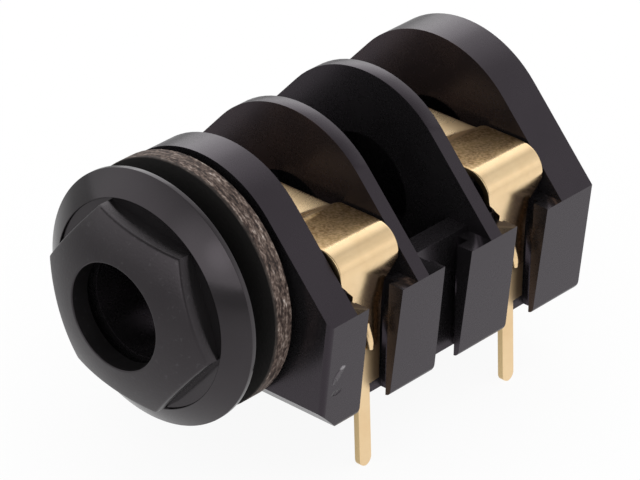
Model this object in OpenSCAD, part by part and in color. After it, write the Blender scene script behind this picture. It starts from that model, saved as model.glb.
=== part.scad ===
// Quarter inch mono jack socket for a printed board
// X is across, Y runs along the plug axis from the nut to the rear wall, Z is up.
// The origin is on the plug axis, on the front face of the housing.

/* [Plug path] */
// Diameter of the plug hole in the nut, the bush and the front wall
plug_d = 6.4; // [6.35:0.05:6.6]
// Diameter of the plug hole in the fins
guide_d = 6.8; // [6.6:0.1:7.4]
// Diameter at the end of the pocket in the rear wall, which takes the nose of the plug
nose_d = 2; // [1.6:0.1:3]
// Thickness of the rear wall behind the pocket
pocket_wall = 0.6; // [0.4:0.1:1]

/* [Housing] */
// Radius of the round crown of the walls
crown_r = 7; // [6.6:0.05:7.6]
// Height of the crown's centre above the plug axis
crown_rise = 0.55; // [0.3:0.05:0.9]
// Width across the shoulders of the walls
shoulder_w = 19.65; // [19:0.05:21]
// Height of the shoulders above the plug axis
shoulder_rise = 0.15; // [0:0.05:0.4]
// Width across the foot
foot_w = 18.25; // [17.8:0.05:19]
// Depth of the foot below the plug axis
foot_drop = 7.05; // [6.6:0.05:8]
// Thickness of the front wall
front_t = 2.25; // [1.5:0.05:2.6]
// Thickness of the rear wall
rear_t = 2.8; // [2:0.05:3.2]
// Front face of the first fin
fin_y = 7.35; // [7.2:0.05:7.6]
// Distance from fin to fin and from the last fin to the rear wall
fin_pitch = 6.35; // [6.2:0.05:6.6]
// Thickness of a fin
fin_t = 0.95; // [0.7:0.05:1.2]
// Radius on the upright front corners
corner_r = 0.35; // [0.2:0.05:0.7]
// Radius along the lower side edges
hem_r = 0.35; // [0.2:0.05:0.6]
// Height and depth of the bevel under the front face
chin = 1.45; // [0.8:0.05:1.8]

/* [Tub and side piers] */
// Width across the side walls of the tub, at the floor of the slots
tub_w = 16; // [15.5:0.05:16.5]
// Thickness of the side walls of the tub
tub_wall = 1.4; // [1:0.1:2]
// Thickness of the floor of the tub
tub_floor = 1.6; // [1:0.1:2.4]
// How far the side walls of the tub stand above the level tops of the piers
ledge_rise = 0.3; // [0.1:0.05:0.5]
// How far a pier stands out in front of its fin
pier_fore = 1.3; // [1:0.05:1.4]
// How far a pier stands out behind its fin
pier_aft = 1.35; // [1:0.05:1.5]
// How far the first pier stands out behind the front wall
front_pier_aft = 0.95; // [0.7:0.05:1.1]
// Extra reach of the pier in front of the second fin
middle_pier_extra = 0.4; // [0:0.05:0.6]
// How much each face of a pier spreads from its top to its foot
pier_spread = 0.12; // [0:0.02:0.2]
// Radius of the lower rear corner of a pier
pier_r = 0.5; // [0.3:0.05:0.9]
// Depth of the groove between the piers, for the stem of a contact
groove_depth = 0.8; // [0.75:0.05:0.85]
// Room on each side of the stem in the groove
groove_play = 0.35; // [0.25:0.05:0.4]

/* [Bush and seat] */
// Diameter of the bush at half the depth of its thread
bush_d = 9.1; // [8.6:0.1:9.4]
// Length of the bush inside the nut
thread_engage = 1.34; // [1:0.02:1.6]
// Diameter of the raised seat for the washer
seat_d = 11.1; // [10.6:0.1:12]
// Height of the raised seat
seat_h = 0.6; // [0.3:0.05:0.9]

/* [Washer] */
// Outer diameter of the fibre washer
washer_d = 15.1; // [14.4:0.1:15.6]
// Thickness of the fibre washer
washer_t = 1.33; // [0.8:0.01:1.5]
// Room between the bush and the washer, on the radius
washer_play = 0.4; // [0.3:0.05:0.8]

/* [Nut] */
// Distance across the flats of the head
nut_af = 10.7; // [10.4:0.1:11.2]
// Diameter of the flange
flange_d = 15.4; // [14.6:0.1:16]
// Thickness of the flange at its rim
rim_t = 0.31; // [0.2:0.01:0.5]
// Height of the conical face of the flange
flange_cone_h = 1.02; // [0.7:0.02:1.3]
// Width of the flat land between the corners of the head and the conical face
head_land = 0.08; // [0.04:0.02:0.2]
// Height of the head from its base to the rim of the plug hole
head_h = 1.94; // [1.7:0.02:2.3]
// Fall of the conical front from the plug hole to the corners of the head
front_fall = 1.15; // [0.9:0.05:1.4]
// Room left for the panel between the washer and the nut
panel_gap = 1.73; // [1.2:0.01:2]
// Room between the bush and the nut, on the radius
thread_play = 0.05; // [0.03:0.01:0.1]
// Room left in the nut in front of the end of the bush
nut_spare = 0.7; // [0.4:0.05:0.8]

/* [Contacts] */
// Thickness of the strip
strip_t = 0.45; // [0.3:0.05:0.5]
// Room between the spring part and the walls in front of it and behind it
spring_play = 0.14; // [0.08:0.02:0.3]
// Width of the part that stands in the groove
stem_w = 2.65; // [2.2:0.05:2.8]
// Width of the board pin
pin_w = 1; // [0.8:0.05:1.2]
// Length of the board pin below the foot
pin_l = 4.35; // [3:0.05:5]
// Height of the lower end of the stem above the foot
stem_lift = 0.8; // [0.5:0.05:1.2]
// Height of the spring's lower corners above the plug axis
spring_z = 1.3; // [1.1:0.05:1.4]
// Outer radius of the bend over the tub wall
bend_r = 1.55; // [1.2:0.05:1.6]
// Top of the bend and the level beam above the plug axis
bend_top = 3.1; // [3.05:0.05:3.4]
// Distance from the plug axis to the fold where the finger starts
fold_x = 3.85; // [3.4:0.05:4.2]
// Length over which the beam rounds down to the width of the finger
neck_l = 0.36; // [0.2:0.02:0.8]
// Width of the finger
finger_w = 3.8; // [3.2:0.02:4]
// Reach of the finger beyond the plug axis
finger_reach = 1.1; // [0.6:0.1:1.8]
// Depth of the valley along the middle of the finger
valley = 0.62; // [0.4:0.02:0.64]
// Length of the slope from the fold down to the valley
valley_run = 1.4; // [0.8:0.1:2]
// How far the latch stands out of the stem
latch_out = 0.3; // [0.15:0.05:0.4]
// Height of the latch
latch_h = 1.6; // [1.2:0.1:2]
// Width of the latch
latch_w = 0.8; // [0.5:0.1:1.2]
// Depth of the middle of the latch below the plug axis
latch_drop = 2.8; // [2.2:0.1:3.4]

/* [Hidden] */
$fn = 96;
over = 1; // how far a cutting body runs past the face that it cuts
black = [0.13, 0.13, 0.14];
fibre = [0.42, 0.34, 0.3];
gilt = [0.86, 0.7, 0.38];

fins = [fin_y, fin_y + fin_pitch];
rear_y = fins[1] + fin_pitch;
body_l = rear_y + rear_t;
// Front and rear face of each wall
walls = [[0, front_t], [fins[0], fins[0] + fin_t], [fins[1], fins[1] + fin_t], [rear_y, body_l]];
// Front and rear end of each pier at its top
piers = [
    [0, front_t + front_pier_aft],
    [fins[0] - pier_fore, fins[0] + fin_t + pier_aft],
    [fins[1] - pier_fore - middle_pier_extra, fins[1] + fin_t + pier_aft],
    [rear_y - pier_fore, body_l]
];
tub_top = shoulder_rise + ledge_rise;
side_lean = atan2((shoulder_w - foot_w) / 2, shoulder_rise + foot_drop);
tall = foot_drop + crown_rise + crown_r;

washer_y = -seat_h - washer_t;
nut_y = washer_y - panel_gap;
bush_y = nut_y - thread_engage;
head_y = nut_y - rim_t - flange_cone_h;
head_r = nut_af / 2 / cos(30);
front_y = head_y - head_h;
head_turn = -10; // angle of one corner of the head from the X axis

// Middle of each compartment, on the front wall's and the fins' pitch
slots = [for (i = [0 : 2]) (front_t + fin_y) / 2 + i * fin_pitch];
spring_w = fin_y - front_t - 2 * spring_play;
stem_x = tub_w / 2;
bend_c = [stem_x + strip_t - bend_r, bend_top - bend_r];
neck_x = fold_x + neck_l;
stem_foot = -foot_drop + stem_lift;
pin_tip = -foot_drop - pin_l;

// Points of an arc around c from angle a0 to a1
function arc(c, r, a0, a1, n = 8) =
    [for (i = [0 : n]) let (a = a0 + (a1 - a0) * i / n) c + r * [cos(a), sin(a)]];

module along_y(y0, y1) {
    translate([0, y1, 0]) rotate([90, 0, 0]) linear_extrude(y1 - y0) children();
}
module along_x(x0, x1) {
    translate([x0, 0, 0]) rotate([90, 0, 90]) linear_extrude(x1 - x0) children();
}
module rod_y(r, y0, y1) {
    translate([0, y1, 0]) rotate([90, 0, 0]) cylinder(r = r, h = y1 - y0);
}

// Outline of a wall from shoulder to crown: straight flanks that run tangent into the crown
module wall_flanks() {
    half = shoulder_w / 2;
    fall = crown_rise - shoulder_rise;
    a = atan2(-fall, half) + acos(crown_r / norm([half, fall]));
    touch = [crown_r * cos(a), crown_rise + crown_r * sin(a)];
    polygon([[half, shoulder_rise], touch, [-touch[0], touch[1]], [-half, shoulder_rise]]);
}

// Outline across the lower housing: leaning sides, round lower edges and a step up to the tub
module lower_outline() {
    top = shoulder_w / 2;
    low = foot_w / 2;
    c = [low - hem_r * tan(45 - side_lean / 2), hem_r - foot_drop];
    right = concat(
        arc(c, hem_r, -90, -side_lean, 6),
        [[top, shoulder_rise], [stem_x, shoulder_rise], [stem_x, tub_top]]
    );
    left = [for (i = [len(right) - 1 : -1 : 0]) [-right[i][0], right[i][1]]];
    polygon(concat(right, left));
}

// Side outline of a pier: its faces spread downwards and its lower rear corner is round
module pier_outline(ends) {
    front = ends[0] - (ends[0] > 0 ? pier_spread : 0);
    rear = ends[1] + (ends[1] < body_l ? pier_spread : 0);
    polygon(concat(
        [[ends[0], tub_top], [front, -foot_drop]],
        arc([rear - pier_r, pier_r - foot_drop], pier_r, -90, 0, 6),
        [[ends[1], tub_top]]
    ));
}

// Takes the upright front corner off, along the leaning side
module front_corner_cut() {
    translate([foot_w / 2, 0, -foot_drop]) rotate([0, side_lean, 0])
        translate([-corner_r, 0, -over]) difference() {
            translate([0, -over, 0]) cube([corner_r + over, corner_r + over, tall]);
            translate([0, corner_r, -over]) cylinder(r = corner_r, h = tall + 2 * over);
        }
}

// Tub with its piers, less the grooves between them
module lower_body() {
    groove_w = stem_w + 2 * groove_play;
    difference() {
        intersection() {
            along_y(0, body_l) lower_outline();
            union() {
                translate([-stem_x, 0, -foot_drop]) cube([tub_w, body_l, foot_drop + tub_top]);
                for (ends = piers) along_x(-shoulder_w / 2, shoulder_w / 2) pier_outline(ends);
            }
        }
        for (y = slots, side = [0, 1]) mirror([side, 0, 0])
            translate([stem_x, y - groove_w / 2, -foot_drop - over])
                cube([groove_depth, groove_w, foot_drop + tub_top + 2 * over]);
    }
}

// Takes the bevel off the lower edge of the front face
module chin_cut() {
    z = -foot_drop;
    along_x(-shoulder_w, shoulder_w)
        polygon([[0, z + chin], [-over, z + chin], [-over, z - over], [chin, z - over], [chin, z]]);
}

// Takes the plug's way through the fins, and the pocket for its nose in the rear wall
module guide_cut() {
    rotate([-90, 0, 0]) rotate_extrude() polygon([
        [0, fin_y - over], [guide_d / 2, fin_y - over], [guide_d / 2, rear_y],
        [nose_d / 2, body_l - pocket_wall], [0, body_l - pocket_wall]
    ]);
}

module housing() {
    tub_in = tub_w - 2 * tub_wall;
    color(black) difference() {
        union() {
            lower_body();
            for (w = walls) {
                along_y(w[0], w[1]) wall_flanks();
                translate([0, 0, crown_rise]) rod_y(crown_r, w[0], w[1]);
            }
            rod_y(seat_d / 2, -seat_h, front_t / 2);
            rod_y(bush_d / 2, bush_y, front_t / 2);
        }
        for (i = [0 : len(walls) - 2])
            translate([-tub_in / 2, walls[i][1], tub_floor - foot_drop])
                cube([tub_in, walls[i + 1][0] - walls[i][1], tall]);
        rod_y(plug_d / 2, bush_y - over, front_t + over);
        guide_cut();
        for (side = [0, 1]) mirror([side, 0, 0]) front_corner_cut();
        chin_cut();
    }
}

module flange_nut() {
    bore_r = bush_d / 2 + thread_play;
    cone_slope = front_fall / (head_r - plug_d / 2);
    color(black) difference() {
        union() {
            // Flange: flat rear face, narrow rim and conical front
            rotate([90, 0, 0]) rotate_extrude() polygon([
                [0, -nut_y], [flange_d / 2, -nut_y], [flange_d / 2, -nut_y + rim_t],
                [head_r + head_land, -head_y], [0, -head_y]
            ]);
            // Head: six flats under a conical front
            intersection() {
                rotate([90, 0, 0]) rotate([0, 0, head_turn])
                    translate([0, 0, -head_y - over / 2]) cylinder(r = head_r, h = head_h + over, $fn = 6);
                rotate([90, 0, 0]) rotate_extrude() polygon([
                    [0, -nut_y], [head_r + over, -nut_y],
                    [head_r + over, -front_y - front_fall - over * cone_slope],
                    [plug_d / 2, -front_y], [0, -front_y]
                ]);
            }
        }
        rod_y(plug_d / 2, front_y - over, nut_y + over);
        rod_y(bore_r, bush_y - nut_spare, nut_y + over);
    }
}

module fibre_washer() {
    color(fibre) difference() {
        rod_y(washer_d / 2, washer_y, -seat_h);
        rod_y(bush_d / 2 + washer_play, washer_y - over, -seat_h + over);
    }
}

// Blank of the strip below the bend: spring, sloping shoulders, stem and round-ended pin
module strip_blank() {
    shoulder = (spring_w - stem_w) / 2;
    right = concat(
        arc([0, pin_tip + pin_w / 2], pin_w / 2, -90, 0, 8),
        [[pin_w / 2, stem_foot], [stem_w / 2, stem_foot], [stem_w / 2, spring_z - shoulder],
         [spring_w / 2, spring_z], [spring_w / 2, bend_c[1]]]
    );
    left = [for (i = [len(right) - 1 : -1 : 1]) [-right[i][0], right[i][1]]];
    polygon(concat(right, left));
}

// Bend over the tub wall and the level beam towards the plug
module bend_and_beam() {
    along_y(-spring_w / 2, spring_w / 2) polygon(concat(
        arc(bend_c, bend_r, 0, 90, 24),
        [[neck_x, bend_top], [neck_x, bend_top - strip_t]],
        arc(bend_c, bend_r - strip_t, 90, 0, 24)
    ));
}

// End of the beam, rounded down to the width of the finger
module neck() {
    narrow = finger_w / 2;
    step = spring_w / 2 - narrow;
    rear = [for (a = [0 : 15 : 90]) [neck_x - neck_l * sin(a), narrow + step * cos(a)]];
    front = [for (i = [len(rear) - 1 : -1 : 0]) [rear[i][0], -rear[i][1]]];
    translate([0, 0, bend_top - strip_t]) linear_extrude(strip_t) polygon(concat(rear, front));
}

// Finger over the plug: behind the fold it slopes down into a valley between two flat flanks
module finger() {
    half = finger_w / 2;
    low = bend_top - valley;
    upper = [
        [fold_x, -half, bend_top], [fold_x, half, bend_top], [fold_x - valley_run, 0, low],
        [-finger_reach, -half, bend_top], [-finger_reach, 0, low], [-finger_reach, half, bend_top]
    ];
    lower = [for (p = upper) p - [0, 0, strip_t]];
    polyhedron(concat(upper, lower), [
        [0, 2, 1], [0, 3, 4, 2], [1, 2, 4, 5],
        [6, 7, 8], [6, 8, 10, 9], [7, 11, 10, 8],
        [3, 0, 6, 9], [1, 5, 11, 7], [0, 1, 7, 6],
        [5, 4, 10, 11], [4, 3, 9, 10]
    ]);
}

// Latch pressed out of the stem, which holds the contact in its slot
module latch() {
    z = -latch_drop - latch_h / 2;
    x = stem_x + strip_t;
    along_y(-latch_w / 2, latch_w / 2)
        polygon([
            [x - strip_t / 2, z], [x + latch_out, z], [x, z + latch_h], [x - strip_t / 2, z + latch_h]
        ]);
}

module contact(y) {
    color(gilt) translate([0, y, 0]) {
        along_x(stem_x, stem_x + strip_t) strip_blank();
        bend_and_beam();
        neck();
        finger();
        latch();
    }
}

module sleeve_contact() {
    contact(slots[0]);
}

module tip_contact() {
    contact(slots[2]);
}

housing();
flange_nut();
fibre_washer();
sleeve_contact();
tip_contact();
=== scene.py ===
import math

import bmesh
import bpy
from mathutils import Matrix, Vector


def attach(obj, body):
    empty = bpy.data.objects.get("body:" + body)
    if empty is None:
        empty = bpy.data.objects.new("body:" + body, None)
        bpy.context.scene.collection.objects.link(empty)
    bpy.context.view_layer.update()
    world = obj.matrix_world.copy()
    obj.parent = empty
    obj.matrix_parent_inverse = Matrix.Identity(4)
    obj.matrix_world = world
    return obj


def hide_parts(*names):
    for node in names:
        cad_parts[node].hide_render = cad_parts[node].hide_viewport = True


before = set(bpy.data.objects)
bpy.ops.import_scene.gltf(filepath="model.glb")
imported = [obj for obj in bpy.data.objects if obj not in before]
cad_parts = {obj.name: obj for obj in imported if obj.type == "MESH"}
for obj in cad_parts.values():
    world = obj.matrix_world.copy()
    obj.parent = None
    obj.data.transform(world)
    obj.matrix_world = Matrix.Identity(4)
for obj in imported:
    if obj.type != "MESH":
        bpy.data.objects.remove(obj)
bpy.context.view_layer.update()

mm = 0.001
scene = bpy.context.scene
print("frame loaded:", ", ".join(sorted(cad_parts)))


# camera

cameraSet = {
    "azimuth": 41.59,
    "elevation": 29.40,
    "roll": 0.81,
    "place": (136.20, -143.36, 113.50),
    "lens": 228.9,
    "sensor": 36,
    "clip": (0.01, 20),
}


def makeCamera(s):
    a, e = math.radians(s["azimuth"]), math.radians(s["elevation"])
    back = Vector((math.sin(a) * math.cos(e), -math.cos(a) * math.cos(e), math.sin(e)))
    right = Vector((math.cos(a), math.sin(a), 0))
    up = back.cross(right)
    roll = Matrix.Rotation(math.radians(s["roll"]), 3, "Z")
    turn = Matrix((right, up, back)).transposed() @ roll
    data = bpy.data.cameras.new("camera")
    data.lens = s["lens"]
    data.sensor_width = s["sensor"]
    data.clip_start, data.clip_end = s["clip"]
    cam = bpy.data.objects.new("camera", data)
    cam.matrix_world = Matrix.Translation(Vector(s["place"]) * mm) @ turn.to_4x4()
    scene.collection.objects.link(cam)
    scene.camera = cam


makeCamera(cameraSet)
scene.view_settings.view_transform = "Standard"
print("camera set")


# shader maths: a socket in a wrapper, so that sums on it add nodes

class Sock:
    def __init__(self, maker, out):
        self.maker, self.out = maker, out

    def __add__(self, o): return self.maker.maths("ADD", self, o)
    def __radd__(self, o): return self.maker.maths("ADD", o, self)
    def __sub__(self, o): return self.maker.maths("SUBTRACT", self, o)
    def __rsub__(self, o): return self.maker.maths("SUBTRACT", o, self)
    def __mul__(self, o): return self.maker.maths("MULTIPLY", self, o)
    def __rmul__(self, o): return self.maker.maths("MULTIPLY", o, self)
    def __truediv__(self, o): return self.maker.maths("DIVIDE", self, o)
    def __rtruediv__(self, o): return self.maker.maths("DIVIDE", o, self)
    def __pow__(self, o): return self.maker.maths("POWER", self, o)
    def __rpow__(self, o): return self.maker.maths("POWER", o, self)


class Maker:
    def __init__(self, tree):
        self.tree = tree
        tree.nodes.clear()

    # one node: its type, its settings, then the values or links of its inputs
    def node(self, kind, settings=None, inputs=None, out=0):
        n = self.tree.nodes.new(kind)
        for key, value in (settings or {}).items():
            if key == "stops":
                ramp = n.color_ramp
                while len(ramp.elements) < len(value):
                    ramp.elements.new(0.5)
                for element, (at, colour) in zip(ramp.elements, value):
                    element.position, element.color = at, (*colour, 1)
            else:
                setattr(n, key, value)
        for key, value in (inputs or {}).items():
            if isinstance(value, Sock):
                self.tree.links.new(value.out, n.inputs[key])
            else:
                n.inputs[key].default_value = value
        return Sock(self, n.outputs[out]) if len(n.outputs) else n

    # several outputs of one node
    def outs(self, kind, names):
        found = self.node(kind).out.node.outputs
        return [Sock(self, found[name]) for name in names]

    def maths(self, op, *values):
        return self.node("ShaderNodeMath", {"operation": op}, dict(enumerate(values)))

    def part(self, vector, axis):
        return self.node("ShaderNodeSeparateXYZ", None, {0: vector}, axis)

    def parts(self, vector):
        return [self.part(vector, axis) for axis in range(3)]

    def join(self, x, y, z):
        return self.node("ShaderNodeCombineXYZ", None, {0: x, 1: y, 2: z})

    def place(self):
        return self.node("ShaderNodeTexCoord", None, None, "Object")

    def noise(self, vector, scale, detail=3.0, rough=0.55):
        return self.node("ShaderNodeTexNoise", None, {
            "Vector": vector, "Scale": scale, "Detail": detail, "Roughness": rough})

    def spread(self, value, low, high):
        return self.node("ShaderNodeMapRange", {"clamp": True}, {
            "Value": value, "From Min": low, "From Max": high, "To Min": 0.0, "To Max": 1.0})

    def ramp(self, value, *stops):
        return self.node("ShaderNodeValToRGB", {"stops": stops}, {0: value})

    def blend(self, share, a, b):
        a, b = (v if isinstance(v, Sock) else (*v, 1) for v in (a, b))
        return self.node("ShaderNodeMix", {"data_type": "RGBA"}, {0: share, 6: a, 7: b}, 2)

    def bump(self, height, strength, distance, normal=None):
        inputs = {"Height": height, "Strength": strength, "Distance": distance}
        if normal is not None:
            inputs["Normal"] = normal
        return self.node("ShaderNodeBump", None, inputs)


def newMaterial(name):
    mat = bpy.data.materials.new(name)
    mat.use_nodes = True
    return mat, Maker(mat.node_tree)


def closeMaterial(m, inputs):
    shader = m.node("ShaderNodeBsdfPrincipled", None, inputs)
    m.node("ShaderNodeOutputMaterial", None, {"Surface": shader})


# noise lies about this level; each noise pair below is its detail and roughness
noiseMiddle = 0.5


# black moulded plastic, for the housing and the nut

plasticSets = {
    "housing": {
        "dark": (0.0068, 0.0063, 0.0068), "light": (0.0104, 0.0097, 0.0104),
        "tint": (1.0, 0.82, 1.0), "rough": 0.27, "ior": 1.50,
        "grain": 5200, "grainDepth": 0.0044, "flow": 260, "glint": 0.0,
        "matt": 0.0, "moulded": True,
    },
    "nut": {
        "dark": (0.0066, 0.0062, 0.0064), "light": (0.0105, 0.0099, 0.0102),
        "tint": (1.0, 0.89, 0.97), "rough": 0.15, "ior": 1.54,
        "grain": 6500, "grainDepth": 0.0075, "flow": 320, "glint": 0.14,
        "matt": 0.18, "moulded": False,
    },
}
# what both share; the front of the nut's head is coarser than its flange and carries painted
# glints, pale specks in its colour
plasticLook = {
    "flowNoise": (4.0, 0.5), "flowLow": 0.3, "flowHigh": 0.7, "flowRough": 0.12,
    "speckShare": 0.6, "speckNoise": (2.0, 0.55), "speckLow": 0.62, "speckHigh": 0.74,
    "paintedGlintTone": (0.13, 0.13, 0.135), "frontFrom": -5.2, "frontTo": -5.7,
    "grainRough": 0.10, "grainBase": 0.3, "grainFront": 1.4, "bump": 0.6,
}
# marks on the near side of the front wall, where the moulding was cut from its runner: a pale
# scuff, a painted highlight at its top and painted shade in a dent below it
scarAndPaintedLightSet = {
    "side": 9.0, "sideFade": 0.05, "grain": 3800, "noise": (4.0, 0.65), "ragged": 2.0,
    "low": 0.1, "high": 0.8, "bump": 0.8, "depth": 0.10,
    "marks": (
        {"at": (1.08, -3.34), "half": (0.66, 0.27), "along": (-0.61, -0.79),
         "tone": (0.05, 0.046, 0.05), "lift": 0.6},
        # painted highlight: a bright spot at the top of the scuff
        {"at": (1.40, -2.95), "half": (0.25, 0.17), "along": (1, 0),
         "tone": (0.26, 0.25, 0.26), "lift": 0.5},
        # painted shade: near black in the dent below the scuff
        {"at": (1.12, -4.48), "half": (0.45, 0.20), "along": (1, 0),
         "tone": (0.002, 0.002, 0.002), "lift": -1.0},
    ),
}
# painted light: the faces behind both contacts carry a painted brown glow, the light that their
# gilt reflects onto them
paintedGiltLightSet = {
    "faces": (7.35, 20.05), "near": 0.02, "far": 0.06, "low": 0.2, "high": 0.7,
    "edge": 5.5, "full": 1.5, "flowLow": 0.1, "flowHigh": 0.6,
    "tone": (0.0235, 0.0150, 0.0125),
}


def scarMarksWithPaintedLight(m, at, s, tone):
    x, y, z = m.parts(at)
    side = m.spread(x, (s["side"] - s["sideFade"]) * mm, s["side"] * mm)
    ragged = (m.noise(at, s["grain"], *s["noise"]) - noiseMiddle) * s["ragged"]
    height = 0.0
    for mark in s["marks"]:
        (y0, z0), (a, b) = mark["at"], mark["along"]
        u = ((y - y0 * mm) * a + (z - z0 * mm) * b) / (mark["half"][0] * mm)
        v = ((y - y0 * mm) * b - (z - z0 * mm) * a) / (mark["half"][1] * mm)
        inside = m.spread(1 - u * u - v * v + ragged, s["low"], s["high"]) * side
        tone = m.blend(inside, tone, mark["tone"])
        height = height + inside * mark["lift"]
    return tone, height


# where the painted light from the contacts lies: close to the two faces, above the axis, fading
# out towards the outer side
def paintedGiltLightMask(m, at, s):
    x, y, z = m.parts(at)
    gaps = [m.maths("ABSOLUTE", y - face * mm) for face in s["faces"]]
    faces = sum(m.spread(gap, s["far"] * mm, s["near"] * mm) for gap in gaps)
    above = m.spread(z, s["low"] * mm, s["high"] * mm)
    return faces * above * m.spread(x, s["edge"] * mm, s["full"] * mm)


def plasticMaterial(name, s, look):
    mat, m = newMaterial(name)
    at = m.place()
    grain = m.noise(at, s["grain"])
    flow = m.noise(at, s["flow"], *look["flowNoise"])
    speckNoise = m.noise(at, s["grain"] * look["speckShare"], *look["speckNoise"])
    speck = m.spread(speckNoise, look["speckLow"], look["speckHigh"])
    front = m.spread(m.part(at, 1), look["frontFrom"] * mm, look["frontTo"] * mm)
    tone = m.blend(m.spread(flow, look["flowLow"], look["flowHigh"]), s["dark"], s["light"])
    # painted glints: pale specks in the colour on the front of the head, as strong as the set's
    # glint
    tone = m.blend(speck * front * s["glint"], tone, look["paintedGlintTone"])
    rough = s["rough"] + front * s["matt"] + (flow - noiseMiddle) * look["flowRough"]
    rough = rough + (grain - noiseMiddle) * look["grainRough"]
    height = grain * (look["grainBase"] + front * look["grainFront"])
    normal = m.bump(height, look["bump"], s["grainDepth"] * mm)
    if s["moulded"]:
        # painted brown light from the contacts on the faces behind them, patchy with the flow
        patchy = m.spread(flow, paintedGiltLightSet["flowLow"], paintedGiltLightSet["flowHigh"])
        tone = m.blend(paintedGiltLightMask(m, at, paintedGiltLightSet) * patchy, tone, paintedGiltLightSet["tone"])
        # the runner scar, with its painted highlight and painted shade
        tone, height = scarMarksWithPaintedLight(m, at, scarAndPaintedLightSet, tone)
        normal = m.bump(height, scarAndPaintedLightSet["bump"], scarAndPaintedLightSet["depth"] * mm, normal)
    closeMaterial(m, {
        "Base Color": tone,
        "Roughness": rough,
        "IOR": s["ior"],
        "Specular Tint": (*s["tint"], 1),
        "Normal": normal,
    })
    return mat


# brown vulcanised fibre: streaks that run round the cut edge, in two pressed layers

fibreSet = {
    "radius": 7.55, "along": 900, "across": 5200, "streakNoise": (4.0, 0.65),
    "fleck": 7000, "fleckStretch": 0.55, "fleckNoise": (2.0, 0.55), "pulp": 1500,
    "streakShare": 0.62, "fleckShare": 0.55, "pulpShare": 0.25, "shift": 0.21,
    "low": 0.33, "high": 0.71,
    "stops": (
        (0.0, (0.010, 0.006, 0.005)), (0.28, (0.042, 0.025, 0.020)),
        (0.55, (0.125, 0.088, 0.072)), (0.78, (0.26, 0.205, 0.175)),
        (1.0, (0.52, 0.46, 0.42)),
    ),
    "middle": -1.27, "seamFar": 0.12, "seamNear": 0.03, "seamShare": 0.28,
    "seamTone": (0.03, 0.02, 0.015),
    # painted shadow of the flange along the front of the edge; the faces darker, partly their own
    # colour and partly painted shade of the gaps
    "frontFrom": -1.70, "frontTo": -1.82, "frontShadeShare": 0.8,
    "frontShadeTone": (0.016, 0.012, 0.010),
    "insideFrom": 7.54, "insideTo": 7.48, "faceToneAndShade": (0.010, 0.009, 0.0085),
    "rough": 0.72, "fleckRough": 0.3, "shine": 0.35, "bump": 0.8, "depth": 0.03,
}


def fibreMaterial(name, s):
    mat, m = newMaterial(name)
    at = m.place()
    x, y, z = m.parts(at)
    angle = m.maths("ARCTAN2", x, z)
    out = (x * x + z * z) ** 0.5
    arc = angle * (s["radius"] * mm)
    # short streaks: long round the edge, thin across it
    streakAt = m.join(arc * s["along"], y * s["across"], out * s["across"])
    streak = m.noise(streakAt, 1.0, *s["streakNoise"])
    fleckAt = m.join(
        arc * s["fleck"] * s["fleckStretch"], y * s["fleck"], out * s["fleck"])
    fleck = m.noise(fleckAt, 1.0, *s["fleckNoise"])
    pulp = m.noise(at, s["pulp"])
    mix = streak * s["streakShare"] + fleck * s["fleckShare"] + pulp * s["pulpShare"] - s["shift"]
    tone = m.ramp(m.spread(mix, s["low"], s["high"]), *s["stops"])
    # the seam between the layers, painted shadow of the flange along the front of the edge, and
    # the faces darker: their own darker surface, with painted shade of the gaps at the flange and
    # the wall
    off = m.maths("ABSOLUTE", y - s["middle"] * mm)
    seam = m.spread(off, s["seamFar"] * mm, s["seamNear"] * mm)
    front = m.spread(y, s["frontFrom"] * mm, s["frontTo"] * mm)
    inside = m.spread(out, s["insideFrom"] * mm, s["insideTo"] * mm)
    tone = m.blend(seam * s["seamShare"], tone, s["seamTone"])
    tone = m.blend(front * s["frontShadeShare"], tone, s["frontShadeTone"])
    tone = m.blend(inside, tone, s["faceToneAndShade"])
    closeMaterial(m, {
        "Base Color": tone,
        "Roughness": s["rough"] + (fleck - noiseMiddle) * s["fleckRough"],
        "Specular IOR Level": s["shine"],
        "Normal": m.bump(mix, s["bump"], s["depth"] * mm),
    })
    return mat


# pale gilt plating over a drawn strip: fine lines lie along the strip's width

giltSet = {
    "base": (0.95, 0.715, 0.43), "deep": (0.88, 0.635, 0.36), "rough": 0.19,
    "line": 4200, "lineStretch": 0.05, "lineRough": 0.06, "lineShare": 0.7,
    "cloud": 420, "cloudNoise": (4.0, 0.6), "cloudLow": 0.35, "cloudHigh": 0.7,
    "cloudRough": 0.08,
    "pitShare": 14, "pitNoise": (2.0, 0.55), "pitLow": 0.35, "pitHigh": 0.65, "pitBump": 0.15,
    "worn": (0.56, 0.36, 0.155), "wornFrom": 7.2, "wornTo": 6.8, "wornEnd": 3.8,
    "wornBefore": 0.1, "wornAfter": 0.2, "wornBase": 0.35, "wornPits": 0.6,
    "wornRough": 0.18, "dull": 0.09,
    "stain": (0.35, 0.195, 0.072), "stainScale": 1500, "stainStretch": 0.6,
    "stainNoise": (3.0, 0.6), "stainLow": 0.4, "stainHigh": 0.6,
    "cut": (0.60, 0.45, 0.24), "cutLow": 0.5, "cutHigh": 0.85, "cutRough": 0.1,
    "lowFrom": -3.4, "lowTo": -4.4, "lowRough": 0.17,
    "bump": 0.5, "lineDepth": 0.0012,
}


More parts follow.
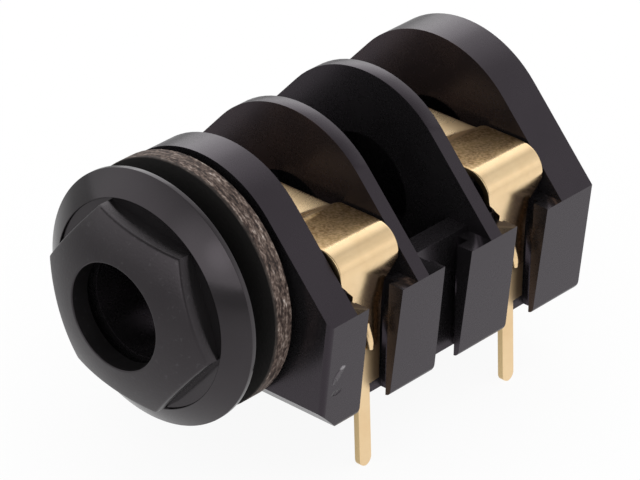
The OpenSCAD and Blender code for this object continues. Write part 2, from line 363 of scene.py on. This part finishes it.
def giltMaterial(name, s):
    mat, m = newMaterial(name)
    at = m.place()
    x, y, z = m.parts(at)
    lineAt = m.join(x * s["line"], y * s["line"] * s["lineStretch"], z * s["line"])
    line = m.noise(lineAt, 1.0)
    cloud = m.noise(at, s["cloud"], *s["cloudNoise"])
    pit = m.noise(at, s["cloud"] * s["pitShare"], *s["pitNoise"])
    tone = m.blend(m.spread(cloud, s["cloudLow"], s["cloudHigh"]), s["base"], s["deep"])
    # the beam is worn brown, and the finger behind its fold is a little dull
    bent = m.spread(x, s["wornFrom"] * mm, s["wornTo"] * mm)
    worn = bent * m.spread(
        x, (s["wornEnd"] - s["wornBefore"]) * mm, (s["wornEnd"] + s["wornAfter"]) * mm)
    stainNoise = m.noise(
        m.join(x, y * s["stainStretch"], z), s["stainScale"], *s["stainNoise"])
    stain = m.spread(stainNoise, s["stainLow"], s["stainHigh"])
    brown = m.blend(stain, s["worn"], s["stain"])
    pits = m.spread(pit, s["pitLow"], s["pitHigh"])
    tone = m.blend(worn * (s["wornBase"] + pits * s["wornPits"]), tone, brown)
    # the edges that the punch cut are bare and darker, and the stem is duller low in its groove
    across = m.part(m.node("ShaderNodeTexCoord", None, None, "Normal"), 1)
    cut = m.spread(across * across, s["cutLow"], s["cutHigh"])
    tone = m.blend(cut, tone, s["cut"])
    low = m.spread(z, s["lowFrom"] * mm, s["lowTo"] * mm)
    rough = s["rough"] + low * s["lowRough"] + cut * s["cutRough"] + bent * s["dull"]
    rough = rough + worn * (s["wornRough"] - s["dull"])
    rough = rough + (cloud - noiseMiddle) * s["cloudRough"]
    rough = rough + (line - noiseMiddle) * s["lineRough"]
    height = line * s["lineShare"] + pit * (s["pitBump"] + worn)
    closeMaterial(m, {
        "Base Color": tone,
        "Metallic": 1.0,
        "Roughness": rough,
        "Normal": m.bump(height, s["bump"], s["lineDepth"] * mm),
    })
    return mat


housingBlack = plasticMaterial("housingBlack", plasticSets["housing"], plasticLook)
nutBlack = plasticMaterial("nutBlack", plasticSets["nut"], plasticLook)
fibreBrown = fibreMaterial("fibreBrown", fibreSet)
gilt = giltMaterial("gilt", giltSet)
print("materials made")


# meshes: welding distance, and the angles of flat joints, rounded edges and sharp creases
meshSet = {"weld": 0.0005, "flat": 0.4, "edge": 35, "crease": 40}


def freeze(obj):
    # the evaluated shape as a plain mesh, with the modifiers taken off
    dg = bpy.context.evaluated_depsgraph_get()
    mesh = bpy.data.meshes.new_from_object(obj.evaluated_get(dg))
    mesh.name = obj.name
    obj.modifiers.clear()
    obj.data = mesh
    return obj


def settle(piece, slotName, *nodes):
    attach(piece, "root")
    if nodes:
        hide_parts(*nodes)


def pieceFrom(bm, name, material, crease=None):
    mesh = bpy.data.meshes.new(name)
    bm.to_mesh(mesh)
    bm.free()
    for face in mesh.polygons:
        face.use_smooth = True
    if crease is not None:
        mesh.set_sharp_from_angle(angle=math.radians(crease))
    mesh.materials.clear()
    mesh.materials.append(material)
    obj = bpy.data.objects.new(name, mesh)
    scene.collection.objects.link(obj)
    return obj


def weld(bm):
    bmesh.ops.remove_doubles(bm, verts=bm.verts, dist=meshSet["weld"] * mm)


def markEdges(bm):
    # outward edges are rounded, and inner corners stay as sharp as the mould cuts them
    weight = bm.edges.layers.float.new("bevel_weight_edge")
    for edge in bm.edges:
        edge.smooth = True
        if edge.is_manifold and edge.calc_face_angle() > math.radians(meshSet["edge"]):
            edge.smooth = edge.is_convex
            edge[weight] = 1.0 if edge.is_convex else 0.0


def roundEdges(obj, width, segments):
    bevel = obj.modifiers.new("edges", "BEVEL")
    bevel.width = width * mm
    bevel.segments = segments
    bevel.limit_method = "WEIGHT"
    bevel.use_clamp_overlap = True
    bevel.miter_outer = "MITER_ARC"
    freeze(obj)
    # where short edges meet, the bevel leaves empty faces
    bm = bmesh.new()
    bm.from_mesh(obj.data)
    weld(bm)
    bm.to_mesh(obj.data)
    bm.free()
    even = obj.modifiers.new("even", "WEIGHTED_NORMAL")
    even.keep_sharp = True
    freeze(obj)


# housing and washer: the solids with the small edge radii that a mould or a punch leaves

edgeSets = {
    "housing": {
        "piece": "housingMoulding", "width": 0.09, "segments": 3,
        "slot": "housing", "material": housingBlack,
    },
    "fibre_washer": {
        "piece": "washerPunching", "width": 0.07, "segments": 2,
        "slot": "fibre", "material": fibreBrown,
    },
}


def roundedCopy(node, s):
    bm = bmesh.new()
    bm.from_mesh(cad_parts[node].data)
    weld(bm)
    bmesh.ops.dissolve_limit(
        bm, angle_limit=math.radians(meshSet["flat"]), verts=bm.verts, edges=bm.edges)
    markEdges(bm)
    piece = pieceFrom(bm, s["piece"], s["material"])
    roundEdges(piece, s["width"], s["segments"])
    settle(piece, s["slot"], node)
    print(s["piece"], len(piece.data.polygons), "faces")


for node, s in edgeSets.items():
    roundedCopy(node, s)


def ease(v):
    return v * v * (3 - 2 * v)


def smoothStep(v):
    return ease(min(1.0, max(0.0, v)))


def softMin(a, b, k):
    return (a + b - math.sqrt((a - b) ** 2 + k * k)) / 2


def loftLoops(bm, loops, closed):
    # quads between loops of the same length; closed joins the last loop to the first
    pairs = list(zip(loops, loops[1:])) + ([(loops[-1], loops[0])] if closed else [])
    for a, b in pairs:
        for j in range(len(a)):
            k = (j + 1) % len(a)
            bm.faces.new((a[j], a[k], b[k], b[j]))


# nut: one section for each angle, because the head is six-sided and all the rest is round

nutSet = {
    "hole": 3.2, "bore": 4.6, "boreFloor": -5.7, "front": -6.93,
    "slope": 0.23, "crown": 3.4, "fall": 0.0585, "frontSteps": 14, "frontStop": 1.5,
    "sides": 6, "flat": 5.35, "corner": 6.2, "cornerSoft": 0.05, "turn": -10,
    "foot": -4.82, "head": -4.99, "land": 6.2576, "step": 0.02,
    "flange": 7.7, "rim": -3.97, "back": -3.66, "angles": 240, "steps": 5,
    "frontRound": 0.24, "holeRound": 0.1, "edgeRound": 0.06, "rimRound": 0.03,
}
# a rounded corner takes no more than this share of its shorter side
cornerShare = 0.45


def headRadius(s, degrees):
    sector = 360 / s["sides"]
    lean = math.radians((degrees - s["turn"]) % sector - sector / 2)
    return softMin(s["flat"] / math.cos(lean), s["corner"], s["cornerSoft"])


def roundedLoop(points, steps):
    # a closed outline of (place across, place along, radius of the corner)
    out = []
    for i, (px, py, radius) in enumerate(points):
        p = Vector((px, py))
        a, b = (Vector(points[(i + d) % len(points)][:2]) - p for d in (-1, 1))
        if not radius:
            out.append(p)
            continue
        u, v = a.normalized(), b.normalized()
        half = u.angle(v) / 2
        reach = min(radius / math.tan(half), cornerShare * min(a.length, b.length))
        middle = p + (u + v).normalized() * reach / math.cos(half)
        first, last = p + u * reach - middle, p + v * reach - middle
        sweep = math.pi - 2 * half
        for k in range(steps + 1):
            f = k / steps
            spoke = first * math.sin((1 - f) * sweep) + last * math.sin(f * sweep)
            out.append(middle + spoke / math.sin(sweep))
    return out


def nutFront(s, r):
    return s["front"] + s["slope"] * (r - s["hole"]) + s["fall"] * max(0.0, r - s["crown"]) ** 2


def nutSection(s, degrees):
    head = headRadius(s, degrees)
    run = head - s["frontRound"] * s["frontStop"] - s["crown"]
    front = []
    for i in range(1, s["frontSteps"]):
        r = s["crown"] + run * (i - 1) / (s["frontSteps"] - 2)
        front.append((r, nutFront(s, r), 0))
    return roundedLoop([
        (s["bore"], s["back"], s["edgeRound"]),
        (s["bore"], s["boreFloor"], 0),
        (s["hole"], s["boreFloor"], 0),
        (s["hole"], s["front"], s["holeRound"]),
        *front,
        (head, nutFront(s, head), s["frontRound"]),
        (head, s["foot"], 0),
        (s["land"] - s["step"], s["foot"], 0),
        (s["land"], s["head"], s["edgeRound"]),
        (s["flange"], s["rim"], s["rimRound"]),
        (s["flange"], s["back"], s["rimRound"]),
    ], s["steps"])


def makeNut(s):
    bm = bmesh.new()
    loops = []
    for i in range(s["angles"]):
        degrees = s["turn"] + 360 * i / s["angles"]
        c, n = math.cos(math.radians(degrees)), math.sin(math.radians(degrees))
        section = nutSection(s, degrees)
        loops.append([bm.verts.new((r * c * mm, y * mm, r * n * mm)) for r, y in section])
    loftLoops(bm, loops, True)
    bmesh.ops.recalc_face_normals(bm, faces=bm.faces)
    nut = pieceFrom(bm, "nutMoulding", nutBlack, meshSet["crease"])
    settle(nut, "nut", "flange_nut")
    print("nutMoulding", len(nut.data.polygons), "faces")


makeNut(nutSet)


# contacts: a folded strip with its pin, its spring and the finger over the plug

stripSet = {
    "thick": 0.45, "stemX": 8.0, "foot": -6.25, "footStep": 0.03, "pinTip": -11.4,
    "pinWidth": 1.0, "stemWidth": 2.65, "springWidth": 4.82, "springZ": 1.3,
    "bendRadius": 1.55, "bendTop": 3.1, "foldX": 3.85, "foldSoft": 0.035,
    "foldBefore": 0.05, "foldAfter": 0.15, "neck": 0.36, "fingerWidth": 3.8,
    "reach": 1.1, "valley": 0.62, "valleyRun": 1.4,
    "beadX": 4.02, "beadSpread": 0.075, "beadMiddle": -0.1, "beadSpan": 1.0,
    "slitX": 3.86, "slitSpread": 0.055, "slit": 1.7,
    "lean": 0.27, "leanRun": 3.2, "board": -7.05, "pinThick": 0.42, "pinEase": 0.5,
    "columns": 56, "bendRows": 36, "beamRows": 12, "foldRows": 72, "fingerRows": 14,
    "tipStart": 8, "tipRows": 9, "pinRows": 10, "stemRows": 30, "shoulderRows": 8,
    "edge": 0.06, "corner": 3,
}
latchSet = {
    "out": 0.3, "sink": 0.36, "height": 1.6, "width": 0.8, "middle": -2.8,
    "taperFrom": 0.06, "taperRun": 0.80, "rise": 1.15, "rows": 14, "columns": 10,
}
stripPieces = {
    "sleeve_contact": {"piece": "sleeveStrip", "y": 4.8, "bead": 0.10},
    "tip_contact": {"piece": "tipStrip", "y": 17.5, "bead": 0.0},
}


def fingerDip(s, x, y, bead):
    # how far the skin lies below the level beam: a slope behind the fold, two flanks of a valley
    k = s["foldSoft"]
    slope = -softMin(0.0, (x - s["foldX"]) * s["valley"] / s["valleyRun"], k)
    flank = -softMin(0.0, s["valley"] * (math.hypot(y, 2 * k) / (s["fingerWidth"] / 2) - 1), k)
    ridge = math.exp(-((x - s["beadX"]) / s["beadSpread"]) ** 2)
    ridge -= s["slit"] * math.exp(-((x - s["slitX"]) / s["slitSpread"]) ** 2)
    ridge *= math.exp(-((y - s["beadMiddle"]) / s["beadSpan"]) ** 4)
    return softMin(slope, flank, k) - bead * ridge


def halfWidth(s, x):
    wide, narrow = s["springWidth"] / 2, s["fingerWidth"] / 2
    turn = min(1.0, max(0.0, 1 - (x - s["foldX"]) / s["neck"]))
    return narrow + (wide - narrow) * math.sqrt(1 - turn * turn)


def steps(a, b, count):
    return [a + (b - a) * i / count for i in range(1, count + 1)]


def flatSkin(s, z):
    # the stem's face is drawn into its groove, its back stays, and the pin comes out again
    face = s["stemX"] + s["thick"]
    outer = face - s["lean"] * smoothStep((s["springZ"] - z) / s["leanRun"])
    if z < s["foot"]:
        outer += s["lean"] * (s["foot"] - z) / (s["foot"] - s["pinTip"])
    free = smoothStep((s["board"] - z) / s["pinEase"])
    inner = s["stemX"] + (outer - s["pinThick"] - s["stemX"]) * free
    return lambda y: (Vector((outer, y, z)), Vector((inner, y, z)))


def flatRows(s):
    pin, stem, half = s["pinWidth"] / 2, s["stemWidth"] / 2, s["springWidth"] / 2
    round0, shoulder = s["pinTip"] + pin, s["springZ"] - (half - stem)
    foot = s["foot"] + s["footStep"]
    widths = []
    for degrees in [s["tipStart"]] + steps(s["tipStart"], 90, s["tipRows"]):
        a = math.radians(degrees)
        widths.append((round0 - pin * math.cos(a), pin * math.sin(a)))
    widths += [(z, pin) for z in steps(round0, s["foot"], s["pinRows"])]
    widths.append((foot, stem))
    widths += [(z, stem) for z in steps(foot, shoulder, s["stemRows"])]
    widths += [(z, stem + z - shoulder) for z in steps(shoulder, s["springZ"], s["shoulderRows"])]
    return [(half, flatSkin(s, z)) for z, half in widths]


def bentSkin(s, degrees):
    r, t = s["bendRadius"], s["thick"]
    cx, cz = s["stemX"] + t - r, s["bendTop"] - r
    c, n = math.cos(math.radians(degrees)), math.sin(math.radians(degrees))
    return lambda y: tuple(Vector((cx + q * c, y, cz + q * n)) for q in (r, r - t))


def beamSkin(s, x, bead):
    def skin(y):
        top = Vector((x, y, s["bendTop"] - fingerDip(s, x, y, bead)))
        return top, top - Vector((0, 0, s["thick"]))
    return skin


def stripRows(s, bead):
    # from the pin's tip to the finger's end: half the width, and the two skins at a place across
    rows = flatRows(s)
    rows += [(s["springWidth"] / 2, bentSkin(s, a)) for a in [0] + steps(0, 90, s["bendRows"])]
    stops = [
        s["stemX"] + s["thick"] - s["bendRadius"],
        s["foldX"] + s["neck"] + s["foldBefore"],
        s["foldX"] - s["valleyRun"] - s["foldAfter"],
        -s["reach"],
    ]
    for x0, x1, count in zip(stops, stops[1:], (s["beamRows"], s["foldRows"], s["fingerRows"])):
        rows += [(halfWidth(s, x), beamSkin(s, x, bead)) for x in steps(x0, x1, count)]
    return rows


def stripSection(s, half, skin):
    # round the strip: the upper skin, a rounded edge, the lower skin and the other edge
    e, n = min(s["edge"], half / 2), s["columns"]
    thick = (skin(0)[0] - skin(0)[1]).length
    flat = [((half - e) * (2 * j / n - 1), 0.0) for j in range(n + 1)]
    turn = [math.radians(a) for a in steps(0, 90, s["corner"])]
    edge = [(half - e + e * math.sin(a), e * (1 - math.cos(a)) / thick) for a in turn]
    upper = [(-y, d) for y, d in reversed(edge)] + flat + edge
    outline = upper + [(y, 1 - d) for y, d in reversed(upper)]
    return [skin(y)[0].lerp(skin(y)[1], d) for y, d in outline]


def addLatch(s, latch, vert, bm):
    # a small tongue that bulges out of the stem and is cut free at its lower end
    k, q = latch["rows"], latch["columns"]
    face, sink = s["stemX"] + s["thick"], latch["sink"]
    tongue = []
    for i in range(k + 1):
        f = i / k
        z = latch["middle"] + latch["height"] * (0.5 - f)
        taper = math.sin(math.pi * (latch["taperFrom"] + latch["taperRun"] * f))
        w = latch["width"] / 2 * math.sqrt(max(0.0, taper))
        bulge = latch["out"] * smoothStep(f * latch["rise"])
        tongue.append([
            vert((face - sink + (bulge + sink) * (1 - v * v * v * v), w * v, z))
            for v in (2 * j / q - 1 for j in range(q + 1))
        ])
    # each row is a closed loop, with its flat back inside the stem
    loftLoops(bm, tongue, False)
    for end in (tongue[0], tongue[-1]):
        bm.faces.new(end)


def stripMesh(s, latch, y0, bead):
    bm = bmesh.new()

    def vert(p):
        return bm.verts.new((p[0] * mm, (p[1] + y0) * mm, p[2] * mm))

    loops = [[vert(p) for p in stripSection(s, half, skin)] for half, skin in stripRows(s, bead)]
    loftLoops(bm, loops, False)
    count = len(loops[0]) // 2
    for loop in (loops[0], loops[-1]):
        upper, lower = loop[:count], list(reversed(loop[count:]))
        for j in range(count - 1):
            bm.faces.new((upper[j], upper[j + 1], lower[j + 1], lower[j]))
    addLatch(s, latch, vert, bm)
    bmesh.ops.recalc_face_normals(bm, faces=bm.faces)
    return bm


for node, s in stripPieces.items():
    bm = stripMesh(stripSet, latchSet, s["y"], s["bead"])
    strip = pieceFrom(bm, s["piece"], gilt, meshSet["crease"])
    settle(strip, "contacts", node)
    print(s["piece"], len(strip.data.polygons), "faces")


# thread on the bush, as a ridge that follows a helix

threadSet = {"Crest Radius": 4.72, "Ridge": 0.30, "Pitch": 0.80, "Start": -0.72, "Length": 4.1}
threadPoints = {"turn": 72, "ridge": 10}


def threadTree(material, points):
    tree = bpy.data.node_groups.new("bushThreadTree", "GeometryNodeTree")
    face = tree.interface
    sockets = {
        name: face.new_socket(name, in_out="INPUT", socket_type="NodeSocketFloat").identifier
        for name in threadSet
    }
    face.new_socket("Geometry", in_out="OUTPUT", socket_type="NodeSocketGeometry")
    m = Maker(tree)
    crest, ridge, pitch, start, length = m.outs("NodeGroupInput", threadSet)
    middle = crest - ridge
    helix = m.node("GeometryNodeCurveSpiral", None, {
        "Resolution": points["turn"], "Rotations": length / pitch,
        "Start Radius": middle, "End Radius": middle, "Height": length})
    section = m.node("GeometryNodeCurvePrimitiveCircle", {"mode": "RADIUS"}, {
        "Resolution": points["ridge"], "Radius": ridge})
    body = m.node("GeometryNodeCurveToMesh", None, {
        "Curve": helix, "Profile Curve": section, "Fill Caps": True})
    turned = m.node("GeometryNodeTransform", None, {
        "Geometry": body, "Translation": m.join(0.0, start, 0.0),
        "Rotation": (math.pi / 2, 0, 0)})
    smooth = m.node("GeometryNodeSetShadeSmooth", None, {"Geometry": turned})
    whole = m.node("GeometryNodeRealizeInstances", None, {"Geometry": smooth})
    done = m.node("GeometryNodeSetMaterial", None, {"Geometry": whole, "Material": material})
    m.node("NodeGroupOutput", None, {0: done})
    return tree, sockets


def makeThread():
    tree, sockets = threadTree(housingBlack, threadPoints)
    obj = bpy.data.objects.new("bushThread", bpy.data.meshes.new("bushThread"))
    scene.collection.objects.link(obj)
    mod = obj.modifiers.new("thread", "NODES")
    mod.node_group = tree
    for name, value in threadSet.items():
        mod[sockets[name]] = value * mm
    freeze(obj)
    settle(obj, "housing")
    print("bushThread", len(obj.data.polygons), "faces")


makeThread()


# floor, light and backdrop

white = (1, 1, 1, 1)
stageSet = {
    "floor": -11.42, "size": 3000, "tone": 0.95, "shadow": 0.08,
    "pool": (25, 25), "poolNear": 22, "poolFar": 110, "poolMiddle": 0.93, "poolEdge": 0.30,
    "poolBack": 0.85, "backFrom": 10, "backTo": 70,
}
lampSets = {
    "window": {"place": (-260, 280, 205), "aim": (0, 8, 0), "size": 240, "watts": 0.115},
}
skySet = {
    "plain": 1.05, "level": 0.35, "band": 0.30, "bandLow": 0.3, "bandHigh": 0.8,
    "under": 0.35, "horizon": (-0.04, 0.02),
    "glows": (
        {"towards": (-0.60, 0.65, 0.47), "wide": 55, "core": 12, "lift": 0.70},
        {"towards": (0.56, 0.65, 0.50), "wide": 26, "core": 4, "lift": 0.24},
        {"towards": (0.02, 0.67, 0.74), "wide": 32, "core": 5, "lift": 0.22},
        {"towards": (0.76, 0.65, 0.03), "wide": 22, "core": 5, "lift": 0.30},
        {"towards": (0.34, -0.93, 0.15), "wide": 40, "core": 10, "lift": 0.95},
        {"towards": (0.25, -0.93, 0.26), "wide": 10, "core": 3, "lift": 0.80},
        {"towards": (-0.58, -0.75, 0.25), "wide": 45, "core": 10, "lift": 0.48},
        {"towards": (0.10, -0.45, 0.88), "wide": 60, "core": 25, "lift": -0.20},
        {"towards": (0.88, -0.47, 0.03), "wide": 38, "core": 12, "lift": -0.50},
        {"towards": (-0.57, 0.24, 0.78), "wide": 22, "core": 6, "lift": 0.30},
    ),
}


def rayKinds(m):
    # camera rays, and the mirror and glass rays that show the backdrop too
    camera, glossy, clear = m.outs(
        "ShaderNodeLightPath", ("Is Camera Ray", "Is Glossy Ray", "Is Transmission Ray"))
    return camera, m.maths("MINIMUM", glossy + clear, 1.0)


def makeFloor(s):
    bm = bmesh.new()
    bmesh.ops.create_grid(bm, x_segments=2, y_segments=2, size=s["size"] / 2 * mm)
    bmesh.ops.translate(bm, verts=bm.verts, vec=(0, 0, s["floor"] * mm))
    mat, m = newMaterial("paleFloor")
    camera, mirror = rayKinds(m)
    at = m.place()
    x, y = m.part(at, 0) - s["pool"][0] * mm, m.part(at, 1) - s["pool"][1] * mm
    far = m.spread((x * x + y * y) ** 0.5, s["poolNear"] * mm, s["poolFar"] * mm)
    behind = m.spread(m.part(at, 0) + m.part(at, 1), s["backFrom"] * mm, s["backTo"] * mm)
    edge = s["poolEdge"] + behind * (s["poolBack"] - s["poolEdge"])
    glow = camera + mirror * (s["poolMiddle"] - far * (s["poolMiddle"] - edge))
    tone = (s["tone"], s["tone"], s["tone"], 1)
    cloth = m.node("ShaderNodeBsdfDiffuse", None, {"Color": tone})
    shine = m.node("ShaderNodeEmission", None, {"Color": white, "Strength": glow})
    share = (camera + mirror) * (1 - s["shadow"])
    mixed = m.node("ShaderNodeMixShader", None, {0: share, 1: cloth, 2: shine})
    m.node("ShaderNodeOutputMaterial", None, {"Surface": mixed})
    pieceFrom(bm, "floor", mat)


def makeLamp(name, s):
    data = bpy.data.lights.new(name, "AREA")
    data.shape = "DISK"
    data.size = s["size"] * mm
    data.energy = s["watts"]
    lamp = bpy.data.objects.new(name, data)
    place = Vector(s["place"]) * mm
    lamp.location = place
    lamp.rotation_mode = "QUATERNION"
    lamp.rotation_quaternion = (Vector(s["aim"]) * mm - place).to_track_quat("-Z", "Y")
    scene.collection.objects.link(lamp)


def makeSky(s):
    sky = bpy.data.worlds.new("sky")
    sky.use_nodes = True
    m = Maker(sky.node_tree)
    camera, mirror = rayKinds(m)
    towards = m.node("ShaderNodeTexCoord", None, None, "Generated")
    x, y, z = m.parts(towards)
    low = m.spread(z, s["bandHigh"], s["bandLow"])
    level = s["level"] + ease(low) * s["band"]
    for glow in s["glows"]:
        aim = Vector(glow["towards"]).normalized()
        along = x * aim.x + y * aim.y + z * aim.z
        edge, core = (math.cos(math.radians(glow[name])) for name in ("wide", "core"))
        level = level + ease(m.spread(along, edge, core)) * glow["lift"]
    level = s["under"] + m.spread(z, *s["horizon"]) * (level - s["under"])
    # camera rays see white, mirror rays the studio, and matt surfaces get a plain level
    strength = camera + mirror * level + (1 - camera - mirror) * s["plain"]
    shine = m.node("ShaderNodeBackground", None, {"Color": white, "Strength": strength})
    m.node("ShaderNodeOutputWorld", None, {"Surface": shine})
    scene.world = sky


makeFloor(stageSet)
for name, s in lampSets.items():
    makeLamp(name, s)
makeSky(skySet)
print("stage set")
